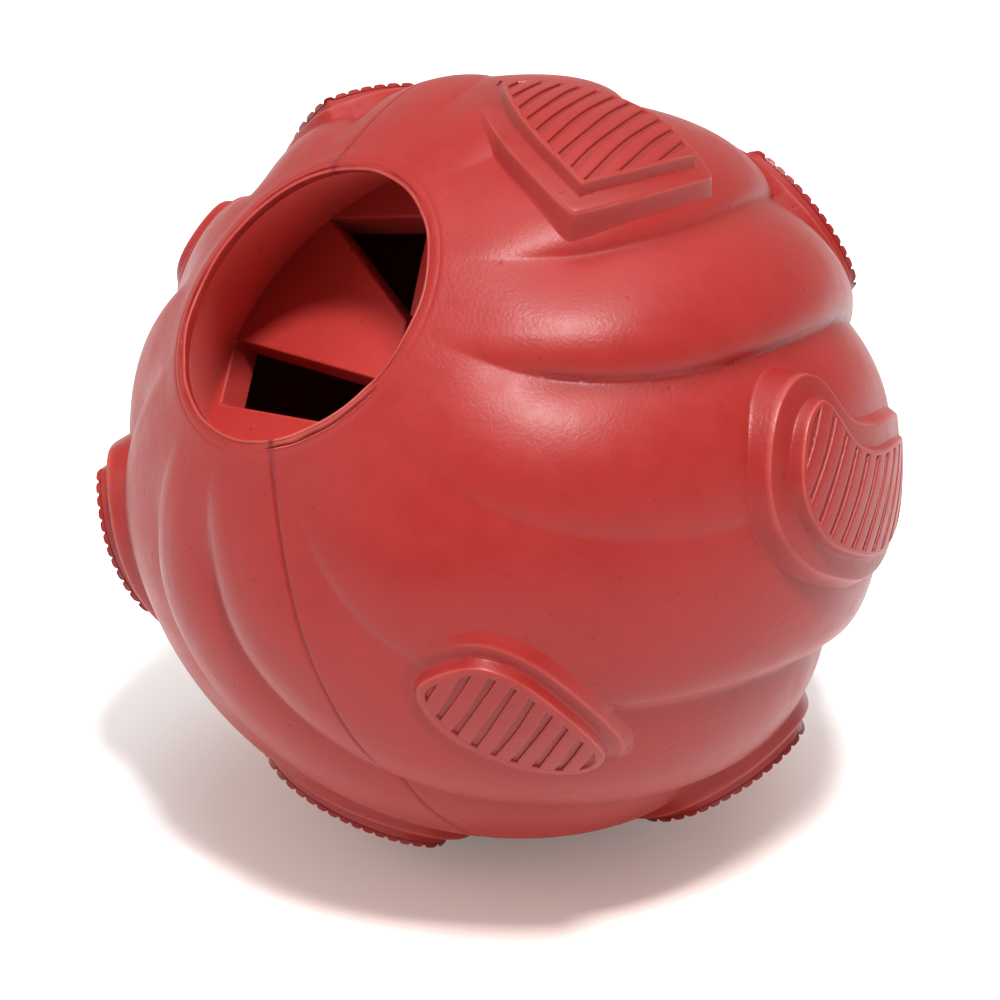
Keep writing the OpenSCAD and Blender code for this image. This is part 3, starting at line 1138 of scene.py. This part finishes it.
    def _rib_bar(self, line: Array, number: int, spin: Array) -> Surface | None:
        """One rib between two grooves: its cross-section carried across the area in a closed line.

        Args:
            line: The line at which the ribs end, as along and across the grooves.
            number: Number of the rib, counted from the middle one.
            spin: Rotation from along and across the grooves to the tread's own plane.

        Returns:
            A closed bar, or nothing where the tier is too narrow for one.
        """
        shape, pitch = self.rib, self.rib_pitch
        low, high = line[:, 1].min() + shape.side_margin, line[:, 1].max() - shape.side_margin
        start = max((number - 0.5) * pitch + 0.5 * shape.groove_w, low)
        end = min((number + 0.5) * pitch - 0.5 * shape.groove_w, high)
        if end - start < shape.least_w:
            return None
        side = shape.half_section
        top = np.linspace(start + shape.edge_round, end - shape.edge_round, shape.top_points + 2)[1:-1]
        across = np.concatenate([start + side[:, 0], top, (end - side[:, 0])[::-1]])
        below = np.concatenate([side[:, 1], np.zeros(shape.top_points), side[::-1, 1]])
        ends = np.array([self._crossings(line, min(max(c, low), high)) for c in across])
        station = np.linspace(0.0, 1.0, self.rib_stations)[:, None]
        along = ends[:, 0] + (ends[:, 1] - ends[:, 0]) * station
        moved = across + shape.waver * np.sin(shape.waver_turn * along + shape.waver_phase * number)
        flat = np.stack([along, moved], -1) @ spin.T
        z = self._dome_z(flat, self.top_r - shape.top_drop, np.array(self.place.lean)) - below
        rows, columns = z.shape
        caps = [np.arange(columns), (rows - 1) * columns + np.arange(columns)[::-1]]
        # Painted shade down the rib's sides and a painted highlight just below its top edges
        deep = shape.shade_share * np.clip(below / shape.shade_depth, 0.0, 1.0)
        painted_highlight = shape.highlight_share * bell(below, shape.highlight_depth, shape.highlight_w)
        return Surface.of_grid(self._placed(flat, z), False, True, caps, pale=painted_highlight, deep=deep)

    def surface(self) -> Surface:
        """Both tiers, with one bar for each rib that stands on the floor of the grooves.

        Returns:
            The tread's surface, of several closed parts.
        """
        angle = radians(self.place.groove_angle)
        spin = np.array([[cos(angle), -sin(angle)], [sin(angle), cos(angle)]])
        ends = self.floor_start - self.rib.end_overlap if self.has_rim else self.shoulder
        line = self._rings(np.array([ends]))[0] @ spin
        count = int(np.abs(line[:, 1]).max() / self.rib_pitch) + 1
        bars = [self._rib_bar(line, number, spin) for number in range(-count, count + 1)]
        return Surface.joined([self._tiers()] + [bar for bar in bars if bar is not None])


@dataclass
class MouthLip(MouldedPiece):
    """The thin, hand-trimmed rim round the mouth. Lengths in millimetres, angles in degrees."""

    ball: BallForm
    name: str = "mouth_rim"
    node: str = "mouth_lip"
    sharp_edge: float = 60.0
    columns: int = 720
    crown_points: int = 7
    flare_points: int = 21
    crown_r: float = 0.2
    crown_end: float = 30.0
    crown_pale: float = 0.8
    crown_pale_h: float = 0.25
    flare_step: float = 0.08
    flare_crown: float = 0.1
    flare_drop: float = 0.03
    skirt_w: float = 0.5
    skirt_drop: float = 0.5
    skirt_foot_drop: float = 0.7
    foot_w: float = 0.2
    foot_drop: float = 0.8
    trimmed_heights: tuple[float, float] = (-0.2, 0.4)
    trimmed_w: float = 0.3
    flash_from: float = -4.0
    flash_to: float = 50.0
    flash_start_fade: float = 4.0
    flash_end_fade: float = 7.0
    flash_lift: float = 0.18
    flash_h: float = 0.3
    flash_past_crack: float = 0.3
    flash_pale: float = 0.7
    crack_out: float = 1.0
    crack_w: float = 0.17
    crack_depth: float = 0.5
    crack_waver: float = 0.1
    crack_waver_turn: float = 2.0
    crack_reach: float = 0.4
    crack_shade: float = 1.6
    nick_at: float = 0.0
    nick_w: float = 1.0
    nick_depth: float = 0.1
    nick_reach: float = 0.2
    nick_shade: float = 1.3
    trim: Ripples = Ripples(0.12, 7, 9.0, SEED + 1)
    lean: Ripples = Ripples(0.08, 6, 6.0, SEED + 2)

    def _section(self) -> Array:
        """Section of the lip: foot, bore, rounded crown, flare down to the flat ring, and a buried skirt.

        Returns:
            Rows of radius and height.
        """
        b = self.ball
        bore, top = b.mouth_r, b.mouth_z + b.lip_proud
        foot_z = b.mouth_z - self.foot_drop
        arc = np.radians(np.linspace(180.0, self.crown_end, self.crown_points))
        crown = [bore + self.crown_r * (1.0 + np.cos(arc)), top - self.crown_r * (1.0 - np.sin(arc))]
        crown = np.stack(crown, -1)
        start = np.array([crown[-1, 0], crown[-1, 1] - self.flare_step])
        share = np.linspace(0.0, 1.0, self.flare_points + 1)[1:, None]
        flare = start * (1.0 - share) + np.array([b.ring_r, b.mouth_z - self.flare_drop]) * share
        flare[:, 1] += self.flare_crown * np.sin(pi * share[:, 0])
        back = bore + b.lip_w
        skirt = [b.ring_r + self.skirt_w, b.mouth_z - self.skirt_drop]
        skirt_foot = [back, b.mouth_z - self.skirt_foot_drop]
        foot = [[back, foot_z], [bore + self.foot_w, foot_z]]
        return np.concatenate([foot, crown, start[None], flare, [skirt, skirt_foot]])

    def surface(self) -> Surface:
        """The section carried round the mouth, with an uneven top, a band of flash, a crack and a nick.

        Each of them moves the section's points up or down by its own depth times its own share.

        Returns:
            The lip's surface.
        """
        b = self.ball
        section = self._section()
        out, height = section[:, :1] - b.mouth_r, section[:, 1:] - b.mouth_z
        angle = np.linspace(0.0, 2.0 * pi, self.columns, endpoint=False)
        ring = around(1.0, angle, 0.0)
        degrees = np.degrees(np.arctan2(ring[:, 1], ring[:, 0]))
        crown_w = self.crown_r * (1.0 + cos(radians(self.crown_end)))
        trimmed = eased(height, *self.trimmed_heights) * (out < crown_w + self.trimmed_w)
        starting = eased(degrees, self.flash_from, self.flash_from + self.flash_start_fade)
        torn = starting * eased(degrees, self.flash_to, self.flash_to - self.flash_end_fade)
        waver = self.crack_waver * self.trim.over(ring * self.crack_waver_turn) / self.trim.height
        crack = torn * bell(out, self.crack_out + waver, self.crack_w)
        in_band = out < self.crack_out + self.flash_past_crack
        band = torn * eased(height, -self.flash_h, 0.0) * in_band
        nick = bell(degrees, self.nick_at, self.nick_w) * (height > -self.nick_reach)
        lift = trimmed * (self.trim.over(ring) - self.trim.height) + self.flash_lift * band
        lift = lift - self.crack_depth * crack * (height > -self.crack_reach) - self.nick_depth * nick
        radius = section[:, :1] + trimmed * self.lean.over(ring)
        points = around(radius, angle, section[:, 1:] + lift)
        # Painted highlight along the crown and the flash, and painted shade in the crack and the nick
        crown_share = eased(height, b.lip_proud - self.crown_pale_h, b.lip_proud)
        pale = (self.crown_pale * crown_share + self.flash_pale * band * (1.0 - crack)) * (1.0 - nick)
        deep = np.clip(self.crack_shade * crack + self.nick_shade * nick, 0.0, 1.0)
        return Surface.of_grid(points, True, True, [], pale=pale, deep=deep)


@dataclass
class Divider:
    """The slotted plate inside the mouth, in two halves, with moulded edges rounded a little."""

    nodes: tuple[str, str] = ("left_divider", "right_divider")
    edge_round: float = 0.35
    edge_segments: int = 3
    edge_angle: float = 40.0
    flat_angle: float = 0.5
    sharp_edge: float = 35.0
    weld_m: float = 1e-6

    def _half(self, node: str, material: bpy.types.Material) -> bpy.types.Object:
        """Copies one half's solid, merges its loose triangles into flat faces and rounds its edges.

        Args:
            node: The CAD node that the copy stands for.
            material: Its finish.

        Returns:
            The new piece.
        """
        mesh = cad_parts[node].data.copy()
        shape = bmesh.new()
        shape.from_mesh(mesh)
        bmesh.ops.remove_doubles(shape, verts=shape.verts, dist=self.weld_m)
        flat = {"angle_limit": radians(self.flat_angle), "delimit": set()}
        bmesh.ops.dissolve_limit(shape, verts=shape.verts, edges=shape.edges, **flat)
        shape.to_mesh(mesh)
        shape.free()
        mesh.materials.clear()
        mesh.materials.append(material)
        piece = bpy.data.objects.new(f"{node}_plate", mesh)
        bpy.context.scene.collection.objects.link(piece)
        bevel = piece.modifiers.new("moulded_edge", "BEVEL")
        bevel.width = self.edge_round * MM
        bevel.segments = self.edge_segments
        bevel.angle_limit = radians(self.edge_angle)
        bevel.harden_normals = False
        mesh.polygons.foreach_set("use_smooth", np.ones(len(mesh.polygons), bool))
        mesh.set_sharp_from_angle(angle=radians(self.sharp_edge))
        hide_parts(node)
        return piece

    def build(self, material: bpy.types.Material) -> list[bpy.types.Object]:
        """Both halves of the plate, in that finish."""
        return [self._half(node, material) for node in self.nodes]


@dataclass
class TreatBall:
    """The whole ball."""

    form: BallForm = field(default_factory=BallForm)
    outer_finish: RubberFinish = RubberFinish("red_rubber")
    # The divider's rubber is a lighter red than the outside's, as painted light inside the mouth
    inner_finish: RubberFinish = RubberFinish(
        "divider_rubber", body=(0.36, 0.030, 0.025, 1.0), bloom=(0.40, 0.042, 0.035, 1.0), roughness=0.46
    )

    def treads(self) -> list[Tread]:
        """All treads, in the places that the CAD source gives them.

        Those that face the camera have their own draft and rim, and those that show edge-on have no rim.

        Returns:
            The treads.
        """
        drop, kidney, leaf = Pattern.DROP, Pattern.KIDNEY, Pattern.LEAF
        # Polar angle, azimuth and turn; shares along and across; height; lean; groove angle
        right = TreadPlace(95.5, 85, 1.3, 1, 1, 1.28, (-0.055, -0.04), 87.5, (0.03, 0.025), 0.19)
        facing = {
            "upper_front_tread": (leaf, TreadPlace(51, 132, 0, 1, 1, 1, (0.023, -0.108), 36), 0.5, 0.35),
            "right_tread": (kidney, right, 0.9, 0.5),
            "front_tread": (drop, TreadPlace(73, 23, 0, 1, 1, 0.8, (-0.06, 0.18), 121), 1.4, 0.9),
        }
        edge_on = {
            "left_tread": (drop, TreadPlace(71.9, -71.7, 145, 1, 1.45, 1.4, (0.04, 0), 0)),
            "lower_left_tread": (kidney, TreadPlace(105.4, -29, 225, 0.8, 0.9, 0.75, (0, -0.04), 90)),
            "lower_right_tread": (kidney, TreadPlace(139, 30, 253, 0.72, 0.8, 1.3, (0, -0.04), 90)),
            "upper_right_tread": (drop, TreadPlace(107.3, 140, 134.7, 0.95, 1, 0.85, (0, 0.04), 90)),
            "top_rear_tread": (leaf, TreadPlace(68, -152.7, -43, 1, 1, 1.2, (0, 0), 60)),
        }
        far_side = {
            "upper_left_tread": (drop, TreadPlace(65, -123, -2.5, 0.9, 1, 1, (0, 0), 0)),
            "foot_tread": (drop, TreadPlace(138, -38, -80, 1, 1.05, 1, (0, 0), 90)),
            "lower_rear_tread": (kidney, TreadPlace(123, -98, 140, 0.84, 0.85, 0.83, (0, 0), 95)),
            "rear_tread": (leaf, TreadPlace(129, -162, 60, 1, 1, 0.83, (0, 0), 85)),
            "right_rear_tread": (drop, TreadPlace(152, 116, 30, 1, 1, 0.83, (0, 0), 100)),
        }
        made = [
            Tread(node, pattern, place, self.form, draft_w=draft, rim_w=rim)
            for node, (pattern, place, draft, rim) in facing.items()
        ]
        made += [Tread(node, *rest, self.form, rim_w=0.0) for node, rest in edge_on.items()]
        return made + [Tread(node, *rest, self.form) for node, rest in far_side.items()]

    def build(self) -> list[bpy.types.Object]:
        """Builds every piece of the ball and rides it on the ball's one body.

        Returns:
            The pieces.
        """
        red = self.outer_finish.material(self.form)
        inside = self.inner_finish.material(self.form)
        moulded = [
            HalfShell("left_half", "left_shell", -1, self.form),
            HalfShell("right_half", "right_shell", 1, self.form),
            MouthLip(self.form),
            *self.treads(),
        ]
        pieces = [part.build(red) for part in moulded]
        plates = Divider().build(inside)
        for piece in pieces + plates:
            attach(piece, "root")
            "divider_rubber" if piece in plates else "red_rubber"
        return pieces + plates


@dataclass(frozen=True)
class Lamp:
    """A square soft lamp. Its place and its side are in metres, its power in watts."""

    name: str
    place: tuple[float, float, float]
    side: float
    power: float

    def hang(self, target: Vector) -> None:
        """Hangs the lamp so that it faces a point.

        Args:
            target: The point, in metres.
        """
        light = bpy.data.lights.new(self.name, "AREA")
        light.size = self.side
        light.energy = self.power
        lamp = bpy.data.objects.new(self.name, light)
        bpy.context.scene.collection.objects.link(lamp)
        lamp.location = self.place
        lamp.rotation_euler = (target - Vector(self.place)).to_track_quat("-Z", "Y").to_euler()


@dataclass(frozen=True)
class Studio:
    """White ground, soft daylight from overhead and the photograph's camera. Lengths in metres."""

    ball_height: float = 0.04895
    camera_distance: float = 0.3776
    camera_elevation: float = 25.0
    focal_px: float = 3008.0
    frame_px: float = 1000.0
    centre_px: tuple[float, float] = (506.65, 456.52)
    sensor: float = 36.0
    clip: tuple[float, float] = (0.01, 20.0)
    floor_size: float = 6.0
    # Painted red bounce light from the ball, on the ground close to it:
    red_bounce_ring: tuple[float, float] = (0.012, 0.05)
    red_bounce_floor: Colour = (0.96, 0.62, 0.52, 1.0)
    far_floor: Colour = (0.90, 0.91, 0.92, 1.0)
    floor_glow: Colour = (1.0, 0.99, 0.98, 1.0)
    floor_glow_share: float = 0.16
    sky_colour: Colour = (1.0, 0.91, 0.85, 1.0)
    sky_strength: float = 0.62
    lamps: tuple[Lamp, ...] = (
        Lamp("key", (0.08, -0.38, 0.90), 0.12, 11.6),
        Lamp("left_fill", (-0.80, -0.25, 0.42), 0.6, 2.2),
        Lamp("ceiling", (0.10, 0.05, 0.95), 0.8, 5.0),
    )

    def _floor_finish(self) -> bpy.types.Material:
        """White ground with painted red bounce light from the ball close to it, that glows a little for the
        camera alone.

        Returns:
            The material.
        """
        sheet = FinishSheet("white_ground")
        place = sheet.node("ShaderNodeTexCoord").outputs["Object"]
        away = sheet.node("ShaderNodeVectorMath", {"operation": "LENGTH"}, {0: place}).outputs["Value"]
        tone = sheet.mixed(Shade(sheet, away).between(*self.red_bounce_ring), self.red_bounce_floor, self.far_floor)
        sockets = {"Base Color": tone, "Roughness": 1.0, "Specular IOR Level": 0.0}
        matt = sheet.node("ShaderNodeBsdfPrincipled", None, sockets)
        glow = sheet.node("ShaderNodeEmission", None, {"Color": self.floor_glow, "Strength": 1.0})
        seen = Shade(sheet, sheet.node("ShaderNodeLightPath").outputs["Is Camera Ray"])
        mix = {0: seen * self.floor_glow_share, 1: matt.outputs[0], 2: glow.outputs[0]}
        return sheet.finish(sheet.node("ShaderNodeMixShader", None, mix))

    def floor(self) -> None:
        """Lays the ground, which shows as white where nothing shades it."""
        half = self.floor_size / 2.0
        mesh = bpy.data.meshes.new("ground")
        corners = [(-half, -half, 0.0), (half, -half, 0.0), (half, half, 0.0), (-half, half, 0.0)]
        mesh.from_pydata(corners, [], [(0, 1, 2, 3)])
        mesh.materials.append(self._floor_finish())
        ground = bpy.data.objects.new("ground", mesh)
        bpy.context.scene.collection.objects.link(ground)

    def sky(self) -> None:
        """Surrounds the scene with even, warm white light."""
        world = bpy.data.worlds.new("white_room")
        bpy.context.scene.world = world
        world.use_nodes = True
        nodes, links = world.node_tree.nodes, world.node_tree.links
        nodes.clear()
        even = nodes.new("ShaderNodeBackground")
        even.inputs["Color"].default_value = self.sky_colour
        even.inputs["Strength"].default_value = self.sky_strength
        links.new(even.outputs[0], nodes.new("ShaderNodeOutputWorld").inputs["Surface"])

    def camera(self) -> None:
        """Sets the camera at the photograph's distance, height and framing."""
        data = bpy.data.cameras.new("camera")
        data.sensor_width = self.sensor
        data.lens = self.focal_px / self.frame_px * self.sensor
        data.shift_x = -(self.centre_px[0] / self.frame_px - 0.5)
        data.shift_y = self.centre_px[1] / self.frame_px - 0.5
        data.clip_start, data.clip_end = self.clip
        camera = bpy.data.objects.new("camera", data)
        bpy.context.scene.collection.objects.link(camera)
        up = radians(self.camera_elevation)
        height = self.ball_height + self.camera_distance * sin(up)
        camera.location = (0.0, -self.camera_distance * cos(up), height)
        camera.rotation_euler = (pi / 2.0 - up, 0.0, 0.0)
        bpy.context.scene.camera = camera

    def build(self) -> None:
        """Sets up ground, light and camera."""
        self.floor()
        self.sky()
        for lamp in self.lamps:
            lamp.hang(Vector((0.0, 0.0, self.ball_height)))
        self.camera()
        bpy.context.scene.view_settings.view_transform = "Standard"


def main() -> None:
    """Builds the ball and its studio."""
    logging.basicConfig(level=logging.INFO, format="%(name)s: %(message)s")
    for piece in TreatBall().build():
        log.info("%s: %d faces", piece.name, len(piece.data.polygons))
    Studio().build()
    bpy.context.view_layer.update()


if __name__ == "__main__":
    main()
